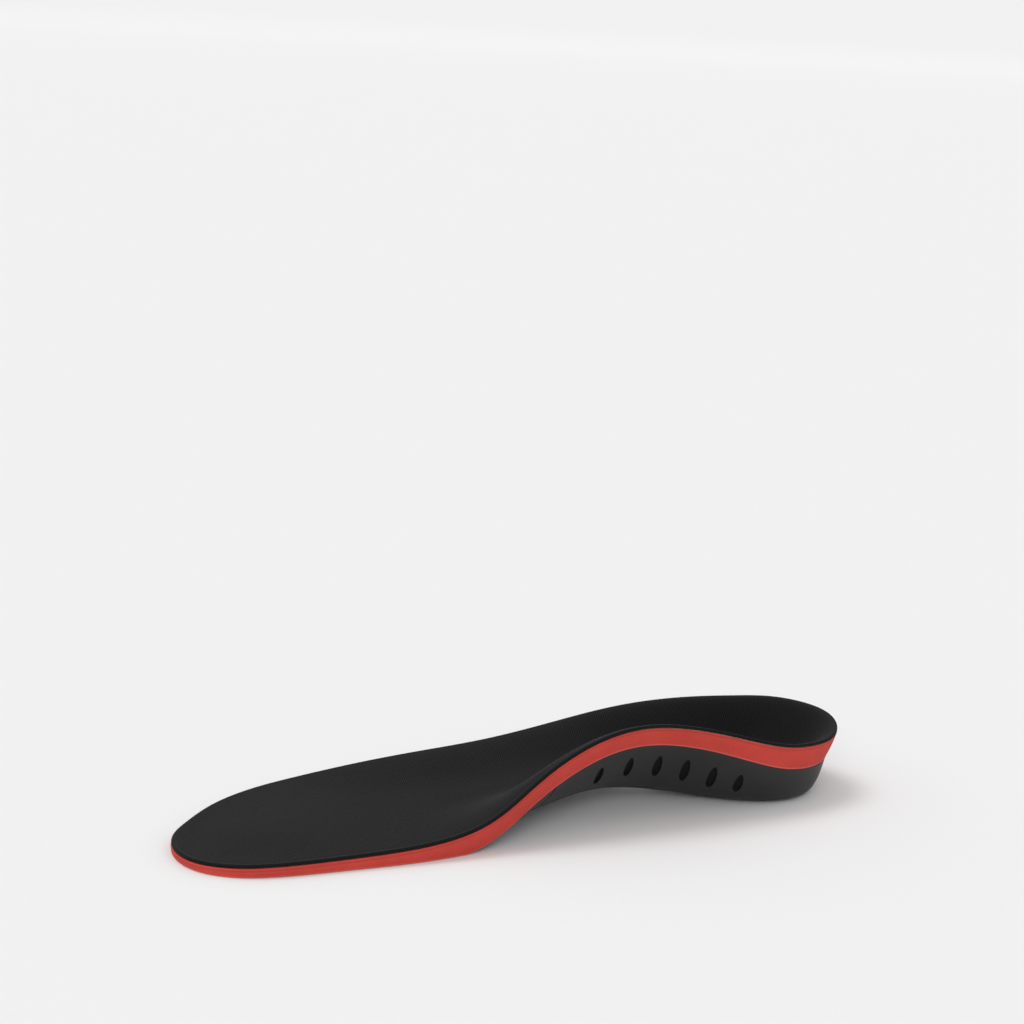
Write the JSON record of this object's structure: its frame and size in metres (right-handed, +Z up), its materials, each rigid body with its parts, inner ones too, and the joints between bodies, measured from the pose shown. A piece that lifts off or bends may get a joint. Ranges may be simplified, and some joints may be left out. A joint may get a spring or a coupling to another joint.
{
  "type": "cushioned insole",
  "caption": "Contoured right-foot shoe insole with a fabric top, foam body, rigid arch shell, deep heel cup, cushioning pads and a toe end that flexes upward.",
  "frame": {"origin": "centre of the bounding box's bottom face, on the plane the insole stands on", "axes": "+X from the toes to the heel, -Y towards the inner (medial) side of the right foot, +Z up"},
  "size_m": [0.2702, 0.089, 0.0378],
  "materials": {
    "black_cloth": "fine knitted twill, matte with a slight sheen",
    "red_foam": "matte closed-cell foam",
    "dark_shell": "satin moulded elastomer",
    "white_pad": "soft foam with fine grey specks",
    "clear_film": "thin heat-activated adhesive film"
  },
  "bodies": {
    "insole": {"top_cover_rear": "black_cloth", "cover_adhesive_rear": "clear_film", "foam_base_rear": "red_foam", "shell_adhesive": "clear_film", "arch_shell": "dark_shell", "heel_pad": "white_pad", "forefoot_pad": "white_pad", "forefoot_pad_adhesive": "clear_film"},
    "toe": {"top_cover_toe": "black_cloth", "cover_adhesive_toe": "clear_film", "foam_base_toe": "red_foam"}
  },
  "joints": [
    {"name": "toe_flex", "type": "hinge", "parent": "insole", "child": "toe", "pos_m": [-0.1015, -0.0024, 0.0057], "axis": [0.1806, 0.9835, 0], "range_deg": [0, 90], "stiffness_Nm_per_rad": 0.03}
  ]
}
